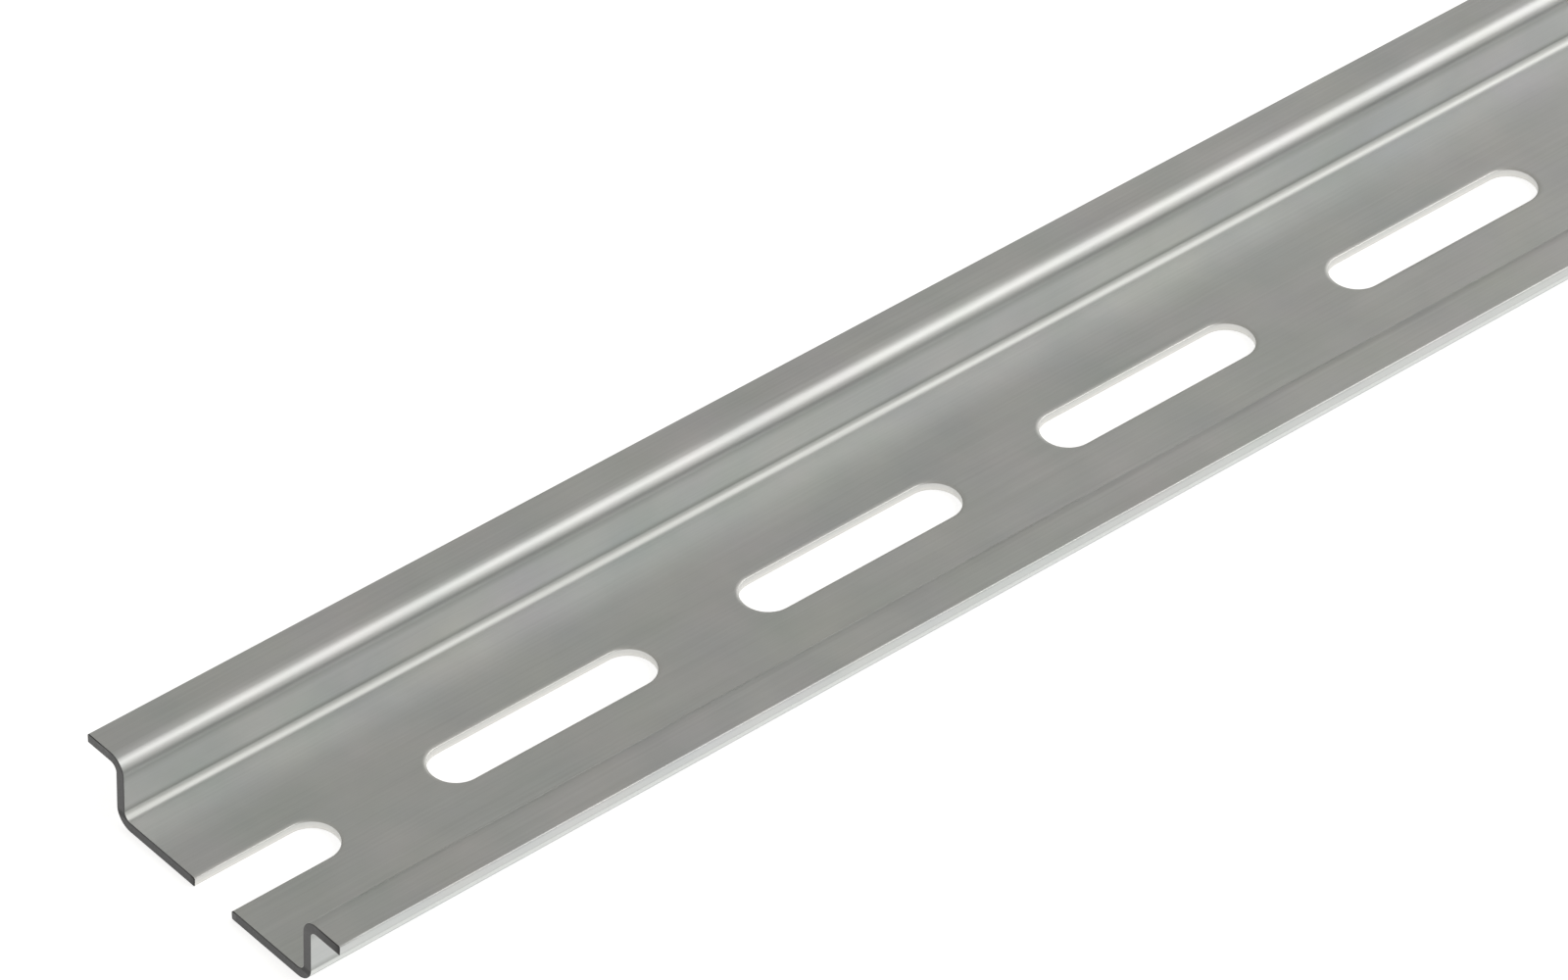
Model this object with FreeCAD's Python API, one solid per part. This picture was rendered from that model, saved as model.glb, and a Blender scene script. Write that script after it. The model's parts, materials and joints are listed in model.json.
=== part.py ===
"""Slotted top-hat mounting rail: one strip of zinc-coated steel, roll-formed and cut to length.

Millimetres. X runs along the rail, Y across it, Z up from the back face, which lies on the ground.
The origin is under the middle of the rail, on the plane of the back face.
"""

import FreeCAD, Part
import math
import os

# Length of the piece of stock
rail_length = 1000.0

# Section of the formed strip
rail_width = 35.0
rail_height = 7.5
channel_outer_width = 27.0
strip_thickness = 1.0
inner_bend_radius = 0.8

# Slots punched along the middle of the base
slot_length = 25.0
slot_width = 5.2
slot_pitch = 36.0
first_slot_centre = 1.0

# Rolled edges of the strip: a small rounding along each flange's rim
rim_radius = 0.2


def arc_between(centre_y, centre_z, radius, start_degrees, end_degrees):
    """Arc of a circle in the section plane, as an edge through its start, middle and end."""
    def at(degrees):
        angle = math.radians(degrees)
        return FreeCAD.Vector(0.0, centre_y + radius * math.cos(angle), centre_z + radius * math.sin(angle))

    middle_degrees = (start_degrees + end_degrees) / 2.0
    return Part.Arc(at(start_degrees), at(middle_degrees), at(end_degrees)).toShape()


def half_section_edges(side):
    """Edges of one half of the section, from the middle of the base's back round to its front.

    side is +1 for the half at positive Y and -1 for the other. The base bends up into a web,
    and the web bends outwards into a flange, both round the same inner radius.
    """
    outer_radius = inner_bend_radius + strip_thickness
    web_back = channel_outer_width / 2.0
    web_front = web_back - strip_thickness
    lower_centre = (web_front - inner_bend_radius, strip_thickness + inner_bend_radius)
    upper_centre = (web_back + inner_bend_radius, rail_height - strip_thickness - inner_bend_radius)
    rim = rail_width / 2.0
    flange_back = rail_height - strip_thickness

    def point(y, z):
        return FreeCAD.Vector(0.0, side * y, z)

    def line(start, end):
        return Part.LineSegment(start, end).toShape()

    def bend(centre, radius, start_degrees, end_degrees):
        if side > 0:
            return arc_between(centre[0], centre[1], radius, start_degrees, end_degrees)
        return arc_between(-centre[0], centre[1], radius, 180.0 - start_degrees, 180.0 - end_degrees)

    return [
        line(point(0.0, 0.0), point(lower_centre[0], 0.0)),
        bend(lower_centre, outer_radius, -90.0, 0.0),
        line(point(web_back, lower_centre[1]), point(web_back, upper_centre[1])),
        bend(upper_centre, inner_bend_radius, 180.0, 90.0),
        line(point(upper_centre[0], flange_back), point(rim - rim_radius, flange_back)),
        bend((rim - rim_radius, flange_back + rim_radius), rim_radius, -90.0, 0.0),
        line(point(rim, flange_back + rim_radius), point(rim, rail_height - rim_radius)),
        bend((rim - rim_radius, rail_height - rim_radius), rim_radius, 0.0, 90.0),
        line(point(rim - rim_radius, rail_height), point(upper_centre[0], rail_height)),
        bend(upper_centre, outer_radius, 90.0, 180.0),
        line(point(web_front, upper_centre[1]), point(web_front, lower_centre[1])),
        bend(lower_centre, inner_bend_radius, 0.0, -90.0),
        line(point(lower_centre[0], strip_thickness), point(0.0, strip_thickness)),
    ]


def formed_strip():
    """The whole section carried along the rail's length."""
    edges = half_section_edges(1) + half_section_edges(-1)
    outline = Part.Wire(Part.__sortEdges__(edges))
    section = Part.Face(outline)
    section.translate(FreeCAD.Vector(-rail_length / 2.0, 0.0, 0.0))
    return section.extrude(FreeCAD.Vector(rail_length, 0.0, 0.0))


def slot_punch(centre_x):
    """A round-ended slot's cutter, through the base's thickness and clear of both faces."""
    end_radius = slot_width / 2.0
    straight = slot_length - slot_width
    depth = 3.0 * strip_thickness
    below = FreeCAD.Vector(centre_x, 0.0, -strip_thickness)
    ends = [
        Part.makeCylinder(end_radius, depth, below + FreeCAD.Vector(sign * straight / 2.0, 0.0, 0.0))
        for sign in (-1.0, 1.0)
    ]
    corner = below + FreeCAD.Vector(-straight / 2.0, -end_radius, 0.0)
    middle = Part.makeBox(straight, slot_width, depth, corner)
    return middle.fuse(ends).removeSplitter()


def slot_centres():
    """Where the slots lie along X. The row runs on past both ends, and a cut opens the slots that it meets."""
    left_end = -rail_length / 2.0
    right_end = rail_length / 2.0
    centre = left_end + first_slot_centre
    while centre - slot_pitch + slot_length / 2.0 > left_end:
        centre -= slot_pitch
    centres = []
    while centre - slot_length / 2.0 < right_end:
        centres.append(centre)
        centre += slot_pitch
    return centres


def slotted_rail():
    """The formed strip with its row of slots punched through the base."""
    punches = [slot_punch(centre) for centre in slot_centres()]
    return formed_strip().cut(punches).removeSplitter()


def main():
    os.makedirs("parts", exist_ok=True)
    rail = slotted_rail()
    solid = rail.Solids[0]
    solid.exportStep("parts/slotted_rail.step")
    box = solid.BoundBox
    print("solids", len(rail.Solids), "valid", solid.isValid(), "slots", len(slot_centres()))
    print(f"size {box.XLength:.3f} x {box.YLength:.3f} x {box.ZLength:.3f} mm")
    print(f"volume {solid.Volume:.1f} mm3")


main()
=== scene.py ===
# %% [markdown]
# # A slotted mounting rail, lit like a catalogue picture
# The object is one strip of zinc-coated steel, a metre long, that rollers have bent into a hat-shaped
# section. The CAD model gives its size and its place. This lesson builds the strip again as a fine
# mesh with rounded bends and punched slots, gives it its finish, and lights it on a pale floor.

import json
import math

import bpy
import numpy as np
from mathutils import Matrix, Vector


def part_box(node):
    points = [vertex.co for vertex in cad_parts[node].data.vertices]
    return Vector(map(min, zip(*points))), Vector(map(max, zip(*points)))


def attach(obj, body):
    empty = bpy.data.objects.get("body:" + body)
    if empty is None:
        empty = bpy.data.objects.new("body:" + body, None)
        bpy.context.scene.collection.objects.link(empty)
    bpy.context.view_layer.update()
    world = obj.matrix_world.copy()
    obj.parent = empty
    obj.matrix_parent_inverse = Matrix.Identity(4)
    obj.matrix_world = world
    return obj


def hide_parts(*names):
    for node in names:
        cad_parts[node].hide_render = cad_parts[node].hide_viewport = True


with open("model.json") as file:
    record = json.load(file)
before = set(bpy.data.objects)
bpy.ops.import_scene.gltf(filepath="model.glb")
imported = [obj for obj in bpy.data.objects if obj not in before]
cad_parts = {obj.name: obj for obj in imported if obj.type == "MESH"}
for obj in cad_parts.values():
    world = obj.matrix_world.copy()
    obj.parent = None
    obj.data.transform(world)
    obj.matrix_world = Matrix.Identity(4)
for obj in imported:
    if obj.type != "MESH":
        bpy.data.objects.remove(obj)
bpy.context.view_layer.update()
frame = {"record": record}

# %% [markdown]
# ## Sizes
# The record states the slots that screws go through: their length, half width and spacing. Those
# are read from it, and the strip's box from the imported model, so that the mesh follows both. The
# thickness and the bends are the section's own sizes. All of it is in millimetres until the mesh is
# written.

# %% Sizes of the strip and its slots
MM = 0.001
low, high = (np.array(corner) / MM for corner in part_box("slotted_rail"))
half_length, half_width, height = high

screws = next(mount for mount in frame["record"]["mounts"] if mount["kind"] == "bolt_pattern")
slot_pitch = screws["dims"]["spacing_x_mm"]
slot_length = screws["dims"]["slot_length_mm"]
slot_radius = screws["dims"]["hole_r_mm"]
stated_slot = screws["pos_m"][0] / MM + slot_pitch / 2

thickness = 1.0
channel_half_width = 13.5
inner_bend = 0.8
print(f"strip {2 * half_length:.0f} x {2 * half_width:.0f} x {height - low[2]:.1f} mm,",
      f"slots {slot_length:.0f} x {2 * slot_radius:.1f} mm, {slot_pitch:.0f} mm apart")

# %% [markdown]
# ## The row of slots
# The press punched the slots before the strip was cut to length, so the saw went through one of
# them at each end. Every slot whose opening reaches the strip is listed here, and the cut ones are
# open at the strip's end. The row is counted from a slot that the record states.

# %% Where the slots lie
arc_offset = slot_length / 2 - slot_radius
first = math.ceil((-half_length - slot_length / 2 - stated_slot) / slot_pitch)
last = math.floor((half_length + slot_length / 2 - stated_slot) / slot_pitch)
slot_centres = stated_slot + slot_pitch * np.arange(first, last + 1)
print(len(slot_centres), "slots, from", round(slot_centres[0], 1),
      "to", round(slot_centres[-1], 1), "mm")

# %% [markdown]
# ## The section
# A bent strip is a flat sheet that turns round two bends on each side. It could be drawn as a
# section and extruded, but then the slots would have to be cut out of it. Here the sheet's middle
# surface comes first, as patches that each depend on two numbers, with the slots already left open.
# The thickness is given to it afterwards. The first patch is the section carried along the strip.

# %% Stations across one side of the sheet
BEND_STEPS = 10
PANEL_HALF_WIDTH = 8.0


def half_section():
    """Stations across one side of the sheet, from the slot panel's border out to the rim.

    Each station is (y, z, turn). Round a bend of middle radius R = inner radius + half the
    thickness, y = centre + R sin(turn) and z = centre - R cos(turn) for the bend up from the base,
    and y = centre - R sin(turn), z = centre + R cos(turn) for the bend out into the flange.
    """
    radius = inner_bend + thickness / 2
    turn = np.linspace(0.0, np.pi / 2, BEND_STEPS + 1)
    low_y, low_z = channel_half_width - thickness - inner_bend, thickness + inner_bend
    high_y, high_z = channel_half_width + inner_bend, height - thickness - inner_bend
    base = [[PANEL_HALF_WIDTH, thickness / 2, 0.0]]
    lower = np.stack([low_y + radius * np.sin(turn), low_z - radius * np.cos(turn), turn], axis=1)
    back = turn[::-1]
    upper = np.stack([high_y - radius * np.sin(back), high_z + radius * np.cos(back), back], axis=1)
    flange = [[half_width, height - thickness / 2, 0.0]]
    return np.concatenate([base, lower, upper, flange])


section = half_section()
print("section:", len(section), "stations on each side")

# %% [markdown]
# ## A panel round each slot
# A grid can't have a round-ended hole, but it can be drawn between the hole's outline and a
# rectangle round it. Spokes run from the outline to the rectangle, and rings of points lie on the
# spokes. The rings are close together near the slot, where the metal bends down into its mouth.

# %% Spokes round a slot
CORNER_STEPS = 5
STRAIGHT_STEPS = 4
TOLERANCE = 1e-9


def pairs(x, y):
    """Rows of (x, y), where either coordinate may be one number for all of them."""
    return np.stack(np.broadcast_arrays(x, y), axis=1)


def spokes(centre):
    """Lines from a slot's outline out to its panel's border, for the half at positive y.

    The inner ends follow the slot: a quarter circle p = c + r (cos a, sin a), the straight side, and
    the other quarter circle. The outer ends follow the panel's border: up its short side, along its
    long side and down again. An end that the saw cut off is left out, and the straight side then
    starts or stops at the cut. A spoke that two parts share is kept once. Returns inner and outer
    ends as two arrays of (x, y).
    """
    angle = np.linspace(np.pi, np.pi / 2, 2 * CORNER_STEPS + 1)
    up = np.linspace(0.0, PANEL_HALF_WIDTH, CORNER_STEPS + 1)
    along = np.linspace(-slot_pitch / 2, -arc_offset, CORNER_STEPS + 1)[1:]
    border = np.concatenate([pairs(-slot_pitch / 2, up), pairs(along, PANEL_HALF_WIDTH)])
    quarter = pairs(slot_radius * np.cos(angle) - arc_offset, slot_radius * np.sin(angle))
    left_end = np.stack([quarter, border])
    right_end = left_end[:, ::-1] * [-1.0, 1.0]
    start = max(-arc_offset, -half_length - centre)
    stop = min(arc_offset, half_length - centre)
    straight = np.linspace(start, stop, STRAIGHT_STEPS + 1)
    parts = [np.stack([pairs(straight, slot_radius), pairs(straight, PANEL_HALF_WIDTH)])]
    if centre - slot_length / 2 > -half_length:
        parts.insert(0, left_end)
    if centre + slot_length / 2 < half_length:
        parts.append(right_end)
    inner, outer = np.concatenate(parts, axis=1) + [centre, 0.0]
    kept = np.append(True, np.any(np.abs(np.diff(outer, axis=0)) > TOLERANCE, axis=1))
    return inner[kept], outer[kept]


print("spokes round half a whole slot:", len(spokes(stated_slot)[0]))

# %% Patches of the middle surface
# Each ring lies at this share of the way from the slot's outline to the panel's border
PANEL_RINGS = np.array([0.0, 0.12, 0.45, 1.0])
WELD_DECIMALS = 5


def patch_faces(rows, columns, flip):
    """Quads of a grid of rows x columns points, numbered row by row; flip turns them over."""
    index = np.arange(rows * columns).reshape(rows, columns)
    corners = [index[:-1, :-1], index[1:, :-1], index[1:, 1:], index[:-1, 1:]]
    quads = np.stack(corners, axis=-1).reshape(-1, 4)
    return quads[:, ::-1] if flip else quads


def middle_surface():
    """The whole sheet: points (x, y, z), the front side's normals and the quads, welded together.

    The slot panels blend each slot's outline into the panel's border: p = inner + q (outer - inner),
    with q from 0 to 1. The strips beside them carry the half section along x, and a station's
    normal is (0, -sin(turn), cos(turn)). The half at negative y is the mirror image.
    """
    patches, along = [], []
    for centre in slot_centres:
        inner, outer = spokes(centre)
        along.append(outer[outer[:, 1] > PANEL_HALF_WIDTH - TOLERANCE, 0])
        x, y = np.moveaxis(inner[:, None] + PANEL_RINGS[:, None] * (outer - inner)[:, None], -1, 0)
        patches += [(x, side * y, thickness / 2, 0.0, side) for side in (1.0, -1.0)]
    x = np.unique(np.round(np.concatenate(along), WELD_DECIMALS + 1))[:, None]
    y, z, turn = section.T
    patches += [(x, side * y, z, turn, side) for side in (1.0, -1.0)]

    points, normals, quads, count = [], [], [], 0
    for x, y, z, turn, side in patches:
        x, y, z, turn = np.broadcast_arrays(x, y, z, turn)
        points.append(np.stack([x, y, z], axis=-1).reshape(-1, 3))
        facing = np.stack([np.zeros(x.shape), -side * np.sin(turn), np.cos(turn)], axis=-1)
        normals.append(facing.reshape(-1, 3))
        quads.append(patch_faces(*x.shape, side < 0) + count)
        count += x.size
    points, normals, quads = (np.concatenate(part) for part in (points, normals, quads))
    rounded = np.round(points, WELD_DECIMALS)
    _, chosen, new_index = np.unique(rounded, axis=0, return_index=True, return_inverse=True)
    return points[chosen], normals[chosen], new_index.ravel()[quads]


middle, middle_normals, middle_quads = middle_surface()
print("middle surface:", len(middle), "points,", len(middle_quads), "quads")

# %% [markdown]
# ## Edges of the sheet
# No edge of the real strip is a plain right angle. A punch pulls the metal down round the slot's
# mouth before it shears, leaves a smooth band, and then tears the rest. The rims and the sawn ends
# are tighter. One profile through the thickness serves them all, and each kind of edge only says
# how far it reaches into the sheet. A Bevel modifier would give every edge the same round form.

# %% Which way each edge faces
# How far the rounding of each kind of edge reaches into the sheet, in millimetres
ROLLOVER = {"slot": 0.44, "rim": 0.20, "end": 0.07}
ON_EDGE = 1e-4


def edge_reach(points):
    """For each point, the direction out of the metal times how far that edge's rounding reaches in.

    On a slot's outline the direction is from the point to the nearest point of the slot's axis. At
    the rims it is +-y and at the ends +-x. Where two edges meet, the two are added, as in a mitre.
    """
    reach = np.zeros_like(points)
    x, y, z = points.T
    at_end = np.abs(np.abs(x) - half_length) < ON_EDGE
    at_rim = np.abs(np.abs(y) - half_width) < ON_EDGE
    reach[at_end, 0] += np.sign(x[at_end]) * ROLLOVER["end"]
    reach[at_rim, 1] += np.sign(y[at_rim]) * ROLLOVER["rim"]
    nearest = slot_centres[np.argmin(np.abs(x[:, None] - slot_centres), axis=1)]
    axis_x = nearest + np.clip(x - nearest, -arc_offset, arc_offset)
    to_axis = np.stack([axis_x - x, -y], axis=1)
    distance = np.linalg.norm(to_axis, axis=1)
    on_slot = (np.abs(distance - slot_radius) < ON_EDGE) & (np.abs(z - thickness / 2) < ON_EDGE)
    reach[on_slot, :2] += to_axis[on_slot] / distance[on_slot, None] * ROLLOVER["slot"]
    return reach


middle_reach = edge_reach(middle)
print("edge points:", int((np.linalg.norm(middle_reach, axis=1) > 0).sum()))

# %% Profile of an edge through the thickness
# Depths, and the heights where the smooth band ends and the torn wall bends, are in millimetres. The
# reach of the back's rounding and the wall's leans are shares of the edge's reach.
MOUTH_DEPTH, MOUTH_STEPS = 0.16, 5
BACK_DEPTH, BACK_STEPS = 0.08, 3
BACK_REACH = 0.3
BAND_END = 0.02
TEAR_BEND_LEAN, TEAR_BEND_HEIGHT = -0.05, -0.22
TEAR_LEAN = -0.08
MOUTH_TORN, BAND_TORN = 0.5, 0.7


def edge_profile():
    """Rows of (a, c, outward, upward, torn) from the front face round to the back face.

    a is the share of the reach, 0 at the true edge and -1 where the rounding starts; c is the height
    over the middle surface in millimetres. The front rounding is a quarter ellipse, a = sin(v) - 1
    and c = h - d + d cos(v), with h half the thickness and d the mouth's depth. The wall drops
    straight, then leans back into the metal where it tore, and the back has a smaller rounding of
    the same kind. outward and upward are the ellipse's normal, and torn says how much of the
    surface there is torn metal.
    """
    half = thickness / 2
    v = np.linspace(0.0, np.pi / 2, MOUTH_STEPS + 1)
    torn = np.linspace(0.0, MOUTH_TORN, MOUTH_STEPS + 1)
    drop = half - MOUTH_DEPTH + MOUTH_DEPTH * np.cos(v)
    front = np.stack([np.sin(v) - 1, drop, MOUTH_DEPTH * np.sin(v), np.cos(v), torn], axis=1)
    wall = np.array([
        [0.0, BAND_END, 1.0, 0.0, BAND_TORN],
        [TEAR_BEND_LEAN, TEAR_BEND_HEIGHT, 1.0, 0.0, 1.0],
        [TEAR_LEAN, BACK_DEPTH - half, 1.0, 0.0, 1.0],
    ])
    v = np.linspace(0.0, np.pi / 2, BACK_STEPS + 1)[1:]
    lean = TEAR_LEAN - BACK_REACH * (1 - np.cos(v))
    drop = BACK_DEPTH - half - BACK_DEPTH * np.sin(v)
    back = np.stack([lean, drop, np.cos(v), -np.sin(v), 1.0 - v / v[-1]], axis=1)
    return np.concatenate([front, wall, back])


profile = edge_profile()
print("edge profile:", len(profile), "points through the thickness")

# %% [markdown]
# ## Thickness
# The front skin is the middle surface moved half a thickness along its normal, and the back skin
# the same the other way. An open edge belongs to only one quad, and along each such edge the
# profile joins the two skins, so the strip is closed. The normals are worked out too: the
# flats then shade dead flat, and only the bends turn the light.

# %% Give the sheet its thickness
SMALLEST_REACH = 1e-3


def thicken(points, normals, quads, reach):
    """Vertices, their normals, quads and the share of torn metal of the closed strip, in mm.

    A point of the skin is p = middle + a reach + c normal, with (a, c) the first or last row of the
    edge profile. A wall takes the other rows, for the points of the edges that one quad alone uses.
    """
    size = np.linalg.norm(reach, axis=1, keepdims=True)
    outward = reach / np.where(size > 0, size, 1.0)
    count = len(points)
    directed = np.stack([quads, np.roll(quads, -1, axis=1)], axis=-1).reshape(-1, 2)
    code = directed[:, 0] * count + directed[:, 1]
    reverse = directed[:, 1] * count + directed[:, 0]
    open_edges = directed[~np.isin(code, reverse)]
    rim = np.unique(open_edges)
    ring = np.full(count, -1)
    ring[rim] = np.arange(len(rim))

    def at(row, chosen):
        a, c = row[:2]
        return points[chosen] + a * reach[chosen] + c * normals[chosen]

    def facing(row, chosen):
        tilt = np.maximum(size[chosen], SMALLEST_REACH) * normals[chosen]
        turned = row[2] * outward[chosen] + row[3] * tilt
        return turned / np.linalg.norm(turned, axis=1, keepdims=True)

    every = np.arange(count)
    wall_rows = profile[1:-1]
    vertices = [at(profile[0], every), at(profile[-1], every)] + [at(row, rim) for row in wall_rows]
    facings = [normals, -normals] + [facing(row, rim) for row in wall_rows]
    torn = [np.zeros(2 * count)] + [np.full(len(rim), row[4]) for row in wall_rows]

    ring_starts = 2 * count + len(rim) * np.arange(len(wall_rows))
    loops = [open_edges] + [start + ring[open_edges] for start in ring_starts] + [count + open_edges]
    walls = [np.concatenate([upper[:, ::-1], lower], axis=1) for upper, lower in zip(loops, loops[1:])]
    faces = np.concatenate([quads, quads[:, ::-1] + count] + walls)
    return np.concatenate(vertices), np.concatenate(facings), faces, np.concatenate(torn)


vertices, facings, faces, torn = thicken(middle, middle_normals, middle_quads, middle_reach)
print("closed strip:", len(vertices), "vertices,", 2 * len(faces), "triangles")

# %% [markdown]
# ## Into Blender
# The arrays become one mesh, which takes the place of the CAD solid and belongs to the same body.
# Blender could work out smooth normals by itself, but it would average them over the flats next to
# each bend, so the exact ones are stored. The share of torn metal goes along as a number on every
# vertex, and only inside the slots: the rims keep their coat.

# %% Put the strip into Blender
def piece(name, points, quads, point_normals):
    """A mesh object at the origin, from arrays in millimetres, shaded by the given normals."""
    mesh = bpy.data.meshes.new(name)
    mesh.from_pydata((points * MM).tolist(), [], quads.tolist(), shade_flat=False)
    mesh.normals_split_custom_set_from_vertices(point_normals.tolist())
    made = bpy.data.objects.new(name, mesh)
    bpy.context.scene.collection.objects.link(made)
    return made


rail = piece("rolled_strip", vertices, faces, facings)
in_slots = np.abs(vertices[:, 1]) < PANEL_HALF_WIDTH
torn_metal = rail.data.attributes.new("torn_metal", "FLOAT", "POINT")
torn_metal.data.foreach_set("value", (torn * in_slots).astype(np.float32))
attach(rail, "root")
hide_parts("slotted_rail")
print("strip's size in mm:", np.round(np.ptp(vertices, axis=0), 3))

# %% [markdown]
# ## Zinc-coated steel
# The strip is cold-rolled steel with a thin plated coat of zinc that has dulled. The mill's rollers
# left fine lines along it, and the coat is satin, a little cloudy, and drifts faintly in tint from
# one spot to the next. An image could carry this, but noise that is stretched along the strip gives
# lines of any length that never repeat.

# %% Colour and node helpers
def linear(hex_colour, alpha=1.0):
    """Scene-linear RGBA of an sRGB colour such as "A0A19C"."""
    srgb = np.array([int(hex_colour[i:i + 2], 16) for i in (0, 2, 4)]) / 255
    value = np.where(srgb <= 0.04045, srgb / 12.92, ((srgb + 0.055) / 1.055) ** 2.4)
    return (*value.tolist(), alpha)


def node(tree, kind, inputs=None, **settings):
    """Adds one node with its settings, and gives each input a value or a link from another socket."""
    made = tree.nodes.new(kind)
    for name, value in settings.items():
        setattr(made, name, value)
    for name, source in (inputs or {}).items():
        if isinstance(source, bpy.types.NodeSocket):
            tree.links.new(source, made.inputs[name])
        else:
            made.inputs[name].default_value = source
    return made


def new_material(name):
    """An empty node material, and its tree."""
    material = bpy.data.materials.new(name)
    material.use_nodes = True
    material.node_tree.nodes.clear()
    return material, material.node_tree


print("middle grey in linear light:", round(linear("808080")[0], 3))

# %% Noise behind the finish
# The rolling lines of such strip are finer than a pixel, so they are drawn a quarter of a millimetre
# apart, about the finest that shows
LINE_SPACING = 0.25
LINE_LENGTH = 22.0
CLOUD_SIZE = 9.0

steel, tree = new_material("Dulled zinc on rolled steel")
place = node(tree, "ShaderNodeTexCoord").outputs["Object"]
position = node(tree, "ShaderNodeSeparateXYZ", {"Vector": place})
line_scale = np.array([1 / LINE_LENGTH, 1 / LINE_SPACING, 1 / LINE_SPACING]) / MM
stretched = node(tree, "ShaderNodeMapping", {"Vector": place, "Scale": line_scale.tolist()})
lines = node(tree, "ShaderNodeTexNoise",
             {"Vector": stretched.outputs["Vector"], "Scale": 1.0, "Detail": 3.0})
clouds = node(tree, "ShaderNodeTexNoise",
              {"Vector": place, "Scale": 1 / (CLOUD_SIZE * MM), "Detail": 4.0})
print("rolling lines", LINE_SPACING, "mm apart, clouds of about", CLOUD_SIZE, "mm")

# %% [markdown]
# ## Shade and highlight painted along the bends
# Beside the bends the webs are painted darker, as painted shade for the dark lines that run there,
# and the bends themselves are painted paler, a painted highlight that adds to their real one, and are
# a little rougher. These bands run the whole length at fixed heights. They could be drawn in an
# image, but a colour ramp over the height above the floor puts them exactly along the bends. The
# upper bends get less of both than the lower ones.

# %% Heights of the painted shade, and of the painted highlight and rougher bends
# Each pair is a height over the floor in millimetres and the band's share there
PAINTED_SHADE_HEIGHTS = ((1.45, 0.0), (1.8, 1.0), (2.35, 0.0), (5.0, 0.0), (5.7, 0.7), (6.4, 0.0))
HIGHLIGHT_AND_ROUGHNESS_HEIGHTS = ((1.02, 0.0), (1.1, 1.0), (1.6, 1.0), (1.8, 0.0),
           (6.2, 0.0), (6.5, 0.25), (7.1, 0.25), (7.3, 0.0))
NONE = (0.0, 0.0, 0.0, 1.0)

share_of_height = node(tree, "ShaderNodeMapRange",
                       {"Value": position.outputs["Z"], "From Max": height * MM})
# Two ramps: painted shade beside the bends, and a painted highlight on the bends, which also makes them
# rougher
painted_bands = []
for heights in (PAINTED_SHADE_HEIGHTS, HIGHLIGHT_AND_ROUGHNESS_HEIGHTS):
    ramp = node(tree, "ShaderNodeValToRGB", {"Fac": share_of_height.outputs["Result"]})
    stops = ramp.color_ramp.elements
    stops.remove(stops[0])
    stops[-1].color = NONE
    for over_floor, amount in heights:
        stops.new(over_floor / height).color = (amount, amount, amount, 1.0)
    painted_bands.append(ramp.outputs["Color"])
painted_shade, painted_highlight_and_roughness = painted_bands
print("rubbed from", PAINTED_SHADE_HEIGHTS[0][0], "mm up, creased from", HIGHLIGHT_AND_ROUGHNESS_HEIGHTS[0][0], "mm up")

# %% [markdown]
# ## Colour of the coat and of bare metal
# Zinc is a mid grey metal. The two noises together move it between two greys, and the clouds' own
# colours tint it very slightly. The painted shade beside the bends and the painted highlight on them
# lie over that. In the slots the punch tore the steel and left it bare and pale, and the sawn ends
# are coloured dark grey. The edge profile says which metal is torn, as an attribute, and the sawn
# faces are simply the last of the strip's length.

# %% Layers of colour
COAT_GREYS = ("B8BAB9", "C8CAC9")
NOISE_RANGE = (0.6, 1.4)
TINT = 0.022

both = node(tree, "ShaderNodeMath", {0: lines.outputs["Fac"], 1: clouds.outputs["Fac"]},
            operation="ADD")
shade = node(tree, "ShaderNodeMapRange",
             {"Value": both.outputs["Value"], "From Min": NOISE_RANGE[0], "From Max": NOISE_RANGE[1]})
zinc = node(tree, "ShaderNodeMix",
            {"Factor": shade.outputs["Result"], "A": linear(COAT_GREYS[0]), "B": linear(COAT_GREYS[1])},
            data_type="RGBA")
tinted = node(tree, "ShaderNodeMix",
              {"Factor": TINT, "A": zinc.outputs["Result"], "B": clouds.outputs["Color"]},
              data_type="RGBA", blend_type="LINEAR_LIGHT")

torn_share = node(tree, "ShaderNodeAttribute", attribute_name="torn_metal").outputs["Fac"]
# The sawn end faces, the last of the strip's length, are coloured dark grey
from_middle = node(tree, "ShaderNodeMath", {0: position.outputs["X"]}, operation="ABSOLUTE")
cut_starts = (half_length - ROLLOVER["end"]) * MM
sawn_share = node(tree, "ShaderNodeMath", {0: from_middle.outputs["Value"], 1: cut_starts},
                  operation="GREATER_THAN").outputs["Value"]

colour = tinted.outputs["Result"]
# Over the coat: darker grey beside the bends is painted shade, paler grey on the bends a painted
# highlight
layers = ((painted_shade, "A6A8A6"), (painted_highlight_and_roughness, "E2E4E2"), (torn_share, "DDDCD8"), (sawn_share, "565656"))
for share, over_it in layers:
    layer = node(tree, "ShaderNodeMix", {"Factor": share, "A": colour, "B": linear(over_it)},
                 data_type="RGBA")
    colour = layer.outputs["Result"]
print("colour layers over the coat:", len(layers))

# %% Sheen and grain
# Plated zinc gives a satin sheen, which breaks up along the rolling lines and is rougher in the bends
SHEEN = (0.35, 0.47)
LINE_RANGE = (0.2, 0.8)
CREASE_ROUGHNESS = 0.21
GRAIN_STRENGTH, GRAIN_DEPTH = 0.12, 0.02

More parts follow.
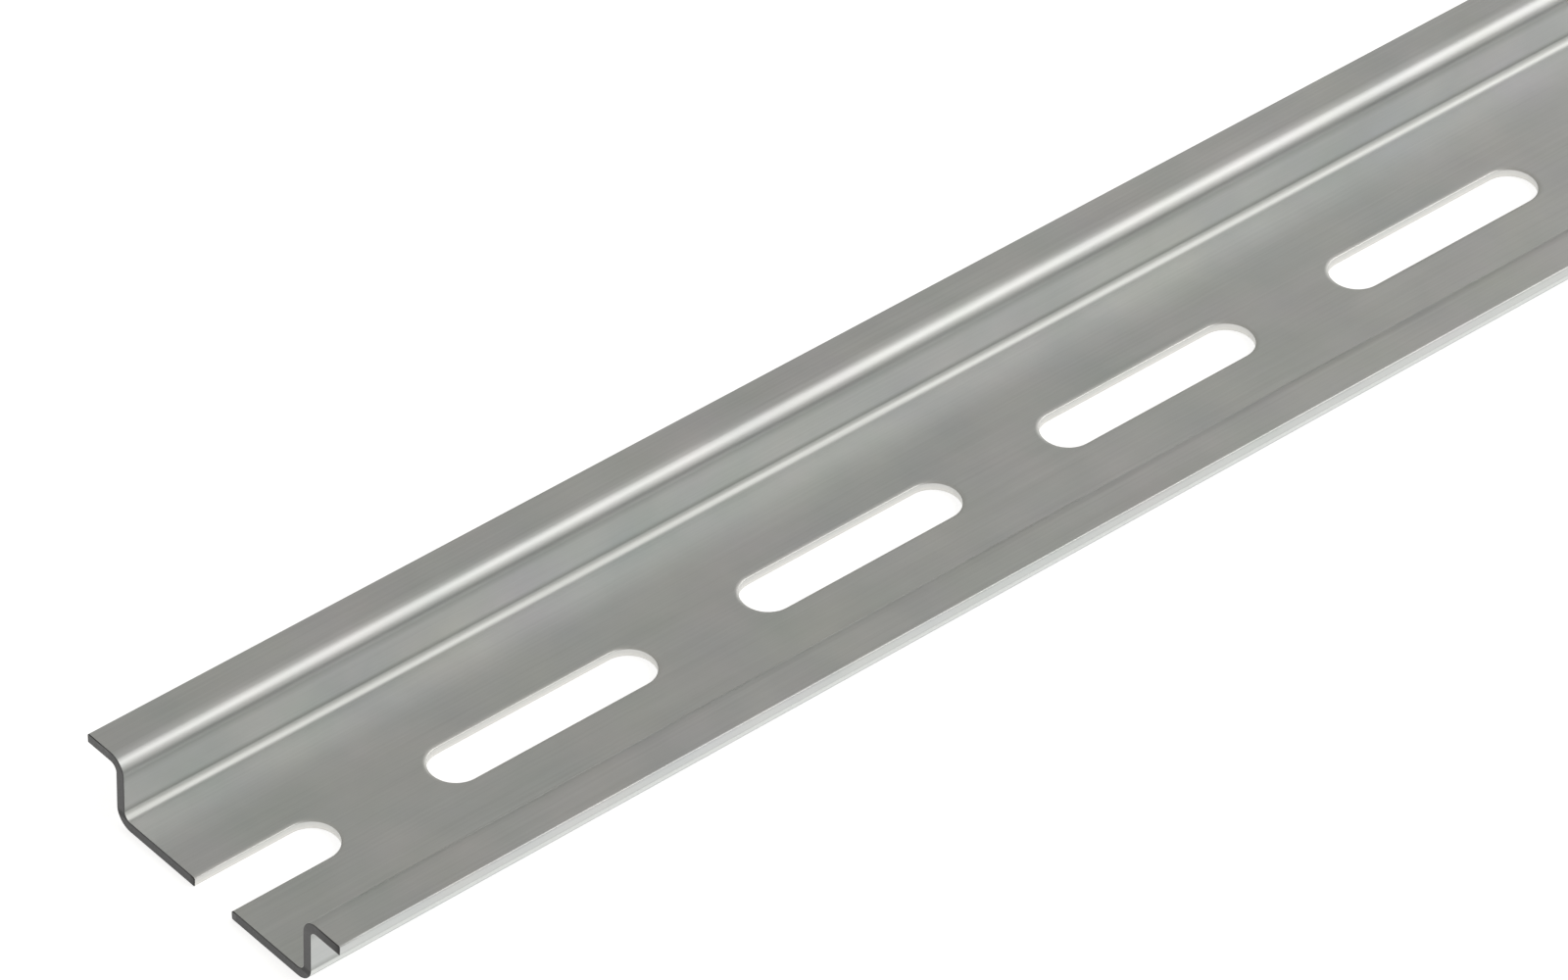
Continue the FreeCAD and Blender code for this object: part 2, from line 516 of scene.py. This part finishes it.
rough = node(tree, "ShaderNodeMapRange",
             {"Value": lines.outputs["Fac"], "From Min": LINE_RANGE[0], "From Max": LINE_RANGE[1],
              "To Min": SHEEN[0], "To Max": SHEEN[1]})
rougher = node(tree, "ShaderNodeMath",
               {0: painted_highlight_and_roughness, 1: CREASE_ROUGHNESS, 2: rough.outputs["Result"]}, operation="MULTIPLY_ADD")
grain = node(tree, "ShaderNodeBump",
             {"Height": lines.outputs["Fac"], "Strength": GRAIN_STRENGTH, "Distance": GRAIN_DEPTH * MM})
shader = node(tree, "ShaderNodeBsdfPrincipled",
              {"Base Color": colour, "Roughness": rougher.outputs["Value"],
               "Normal": grain.outputs["Normal"], "Metallic": 1.0})
node(tree, "ShaderNodeOutputMaterial", {"Surface": shader.outputs["BSDF"]})
rail.data.materials.append(steel)
print("finish:", steel.name, "with", len(tree.nodes), "nodes")

# %% [markdown]
# ## Floor, light and camera
# The picture shows the rail on plain white from above one side, so the floor is white wherever the
# camera or a mirror direction looks at it, and it keeps the rail's soft shadow. A large soft lamp
# on the near right side draws the bright lines along the bends. A second one stands low beyond the
# far end, so that the flats brighten slowly along the strip. Pale grey all round does the rest.

# %% A pale floor
# The board lies a hair under the strip, in millimetres, so that their faces don't touch
FLOOR_DROP = 0.02
FLOOR_HALF_SIZE = 6.0
FLOOR_GREY, FLOOR_WHITE = "C8C8C8", "E0E0E0"


def pale_floor():
    """Matt painted board: no sheen, and plain white to the camera and in reflections."""
    material, tree = new_material("Matt white board")
    seen = node(tree, "ShaderNodeLightPath").outputs
    either = node(tree, "ShaderNodeMath", {0: seen["Is Camera Ray"], 1: seen["Is Glossy Ray"]},
                  operation="MAXIMUM")
    any_seen = node(tree, "ShaderNodeMath", {0: either.outputs["Value"], 1: seen["Is Transmission Ray"]},
                    operation="MAXIMUM")
    matt = node(tree, "ShaderNodeBsdfPrincipled",
                {"Base Color": linear(FLOOR_GREY), "Roughness": 0.9, "Specular IOR Level": 0.1,
                 "Emission Color": linear(FLOOR_WHITE), "Emission Strength": any_seen.outputs["Value"]})
    node(tree, "ShaderNodeOutputMaterial", {"Surface": matt.outputs["BSDF"]})
    return material


corners = np.array([[-1, -1], [1, -1], [1, 1], [-1, 1]]) * FLOOR_HALF_SIZE / MM
board = np.concatenate([corners, np.full((4, 1), -FLOOR_DROP)], axis=1)
floor = piece("floor", board, np.array([[0, 1, 2, 3]]), np.tile([0.0, 0.0, 1.0], (4, 1)))
floor.data.materials.append(pale_floor())
print("floor:", 2 * FLOOR_HALF_SIZE, "m wide")

# %% Lamps and the world
# Places, distances and sizes are in metres
RAIL_END = (-0.42, 0.0, 0.004)
LAMP_DISTANCE = 1.8
LAMP_COLOUR = (1.0, 0.985, 0.973)
SOFTBOXES = {
    "key_softbox": {"direction": (0.57, -0.57, 0.635), "size": (1.8, 1.0), "brightness": 1.80},
    "right_softbox": {"direction": (0.985, 0.05, 0.38), "size": (1.8, 1.6), "brightness": 0.80},
}
SKY_GREY, SKY_STRENGTH = "DAD8D3", 0.70


def level_right(back):
    """The unit direction to the right of something that looks along -back and is held level."""
    right = np.cross([0.0, 0.0, 1.0], back)
    return right / np.linalg.norm(right)


def put(name, data, right, up, back, location):
    """An object in the scene whose x, y and z axes are right, up and back, at location in metres."""
    matrix = np.eye(4)
    matrix[:3] = np.stack([right, up, back, location], axis=1)
    made = bpy.data.objects.new(name, data)
    bpy.context.scene.collection.objects.link(made)
    made.matrix_world = Matrix(matrix.tolist())
    return made


def soft_lamp(name, direction, size, brightness):
    """An area lamp LAMP_DISTANCE from the rail's end, along direction and facing it. Metres.

    Its energy in watts is pi x area x brightness, and at brightness 1 it looks as bright as a
    background of strength 1.
    """
    lamp = bpy.data.lights.new(name, "AREA")
    lamp.shape = "RECTANGLE"
    lamp.size, lamp.size_y = size
    lamp.energy = np.pi * size[0] * size[1] * brightness
    lamp.color = LAMP_COLOUR
    back = np.array(direction) / np.linalg.norm(direction)
    right = level_right(back)
    put(name, lamp, right, np.cross(back, right), back, RAIL_END + back * LAMP_DISTANCE)
    return lamp


for name, softbox in SOFTBOXES.items():
    lamp = soft_lamp(name, **softbox)
    print(name, round(lamp.energy, 2), "W")

world = bpy.data.worlds.new("Studio")
bpy.context.scene.world = world
world.use_nodes = True
world.node_tree.nodes.clear()
sky = node(world.node_tree, "ShaderNodeBackground",
           {"Color": linear(SKY_GREY), "Strength": SKY_STRENGTH})
node(world.node_tree, "ShaderNodeOutputWorld", {"Surface": sky.outputs["Background"]})

# %% The camera
# Angles are in degrees, and distances in millimetres. The focal length is in pixels of a frame that
# is FRAME_WIDTH wide. It is a long lens: seen from well away, the strip narrows only a little.
FRAME_WIDTH = 1600
FOCAL_PIXELS = 10706.6
VIEW_AZIMUTH, VIEW_ELEVATION, VIEW_ROLL = 41.719, 40.651, 1.779
VIEW_DISTANCE = 951.6
AIM = np.array([74.1 - half_length, 10.56, 0.0])
SENSOR_WIDTH = 36.0
CLIP = (0.01, 100.0)


def camera_axes():
    """Right, up and back of the camera: back = (-sin A cos E, -cos A cos E, sin E), then the roll.

    A is the azimuth and E the elevation. The roll turns right and up about the line of sight.
    """
    azimuth, elevation, roll = np.radians([VIEW_AZIMUTH, VIEW_ELEVATION, VIEW_ROLL])
    level = np.array([-np.sin(azimuth), -np.cos(azimuth), 0.0])
    back = np.cos(elevation) * level + [0.0, 0.0, np.sin(elevation)]
    right = level_right(back)
    up = np.cross(back, right)
    return np.cos(roll) * right + np.sin(roll) * up, np.cos(roll) * up - np.sin(roll) * right, back


right, up, back = camera_axes()
lens = bpy.data.cameras.new("camera")
lens.sensor_fit = "HORIZONTAL"
lens.sensor_width = SENSOR_WIDTH
lens.lens = FOCAL_PIXELS / FRAME_WIDTH * SENSOR_WIDTH
lens.clip_start, lens.clip_end = CLIP
camera = put("camera", lens, right, up, back, (AIM + back * VIEW_DISTANCE) * MM)
bpy.context.scene.camera = camera
bpy.context.scene.view_settings.view_transform = "Standard"
print("lens:", round(lens.lens, 1), "mm")
